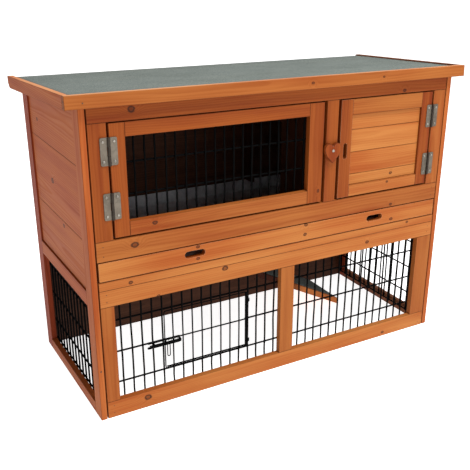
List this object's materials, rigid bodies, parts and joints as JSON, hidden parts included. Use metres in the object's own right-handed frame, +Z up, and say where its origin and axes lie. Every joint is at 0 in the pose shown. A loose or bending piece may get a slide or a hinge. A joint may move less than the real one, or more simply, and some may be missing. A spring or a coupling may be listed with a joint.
{
  "type": "rabbit hutch",
  "caption": "Raised timber rabbit hutch: wire run below, mesh-door living space and closed nest above, pull-out tray, ramp and hinged felt roof.",
  "frame": {"origin": "bottom centre of the whole hutch, on the ground", "axes": "+X along the length towards the nest end, +Y from front to back, +Z up"},
  "size_m": [1.054, 0.4522, 0.7543],
  "materials": {
    "front_pine": "golden brown stain, satin",
    "side_pine": "golden brown stain, matt",
    "inner_pine": "brown stain, matt",
    "roof_felt": "grey-green mineral felt",
    "hinge_steel": "dull zinc plate",
    "black_wire": "black coating, satin",
    "tray_steel": "galvanised sheet"
  },
  "bodies": {
    "hutch": {"side_left_front_stile": "front_pine", "side_left_rear_stile": "side_pine", "side_left_mid_rail": "side_pine", "side_left_bottom_rail": "side_pine", "side_left_boards": "side_pine", "side_left_mesh": "black_wire", "side_right_front_stile": "front_pine", "side_right_rear_stile": "side_pine", "side_right_mid_rail": "side_pine", "side_right_bottom_rail": "side_pine", "side_right_boards": "side_pine", "side_right_mesh": "black_wire", "front_top_rail": "front_pine", "front_mid_rail": "front_pine", "front_lower_rail": "front_pine", "front_bottom_rail": "front_pine", "floor_front_strip": "front_pine", "hinge_stile_left": "front_pine", "hinge_stile_right": "front_pine", "upper_mullion": "front_pine", "run_stile_left": "front_pine", "run_stile_right": "front_pine", "run_mullion": "front_pine", "run_mesh": "black_wire", "rear_wall": "inner_pine", "upper_floor": "inner_pine", "partition": "inner_pine", "mesh_door_hinge_upper_fixed_leaf": "hinge_steel", "mesh_door_hinge_lower_fixed_leaf": "hinge_steel", "solid_door_hinge_upper_fixed_leaf": "hinge_steel", "solid_door_hinge_lower_fixed_leaf": "hinge_steel", "roof_hinge_fixed_leaf": "hinge_steel"},
    "mesh_door": {"mesh_door_hinge_stile": "front_pine", "mesh_door_lock_stile": "front_pine", "mesh_door_top_rail": "front_pine", "mesh_door_bottom_rail": "front_pine", "mesh_door_mesh": "black_wire", "mesh_door_hinge_upper_moving_leaf": "hinge_steel", "mesh_door_hinge_lower_moving_leaf": "hinge_steel"},
    "solid_door": {"solid_door_hinge_stile": "front_pine", "solid_door_lock_stile": "front_pine", "solid_door_top_rail": "front_pine", "solid_door_bottom_rail": "front_pine", "solid_door_boards": "front_pine", "solid_door_hinge_upper_moving_leaf": "hinge_steel", "solid_door_hinge_lower_moving_leaf": "hinge_steel"},
    "roof": {"roof_board": "side_pine", "roof_felt": "roof_felt", "roof_fascia_front": "front_pine", "roof_fascia_left": "side_pine", "roof_fascia_right": "side_pine", "roof_hinge_moving_leaf": "hinge_steel"},
    "turn_button": {"heart_turn_button": "front_pine"},
    "tray": {"tray_front": "front_pine", "tray_pan": "tray_steel"},
    "hatch": {"tray_hatch": "tray_steel"},
    "run_door": {"wire_door": "black_wire"},
    "bolt": {"latch_bolt": "black_wire"},
    "ramp": {"ramp": "front_pine"}
  },
  "joints": [
    {"name": "mesh_door_swing", "type": "hinge", "parent": "hutch", "child": "mesh_door", "pos_m": [-0.43975, -0.2144, 0.5667], "axis": [0, 0, -1], "range_deg": [0, 110]},
    {"name": "solid_door_swing", "type": "hinge", "parent": "hutch", "child": "solid_door", "pos_m": [0.43975, -0.2144, 0.5667], "axis": [0, 0, 1], "range_deg": [0, 110]},
    {"name": "roof_lift", "type": "hinge", "parent": "hutch", "child": "roof", "pos_m": [0, 0.2224, 0.71], "axis": [-1, 0, 0], "range_deg": [0, 95]},
    {"name": "turn_button_spin", "type": "hinge", "parent": "hutch", "child": "turn_button", "pos_m": [0.1205, -0.2156, 0.571], "axis": [0, -1, 0], "continuous": true},
    {"name": "tray_slide", "type": "slide", "parent": "hutch", "child": "tray", "axis": [0, -1, 0], "range_m": [0, 0.36]},
    {"name": "hatch_slide", "type": "slide", "parent": "tray", "child": "hatch", "axis": [0, -1, 0], "range_m": [0, 0.155]},
    {"name": "run_door_swing", "type": "hinge", "parent": "hutch", "child": "run_door", "pos_m": [-0.1034, -0.198, 0.158], "axis": [0, 0, 1], "range_deg": [0, 120]},
    {"name": "bolt_slide", "type": "slide", "parent": "run_door", "child": "bolt", "axis": [1, 0, 0], "range_m": [0, 0.022]},
    {"name": "ramp_lift", "type": "hinge", "parent": "hutch", "child": "ramp", "pos_m": [-0.269, 0.1, 0.338], "axis": [0, -1, 0], "range_deg": [0, 27]}
  ]
}
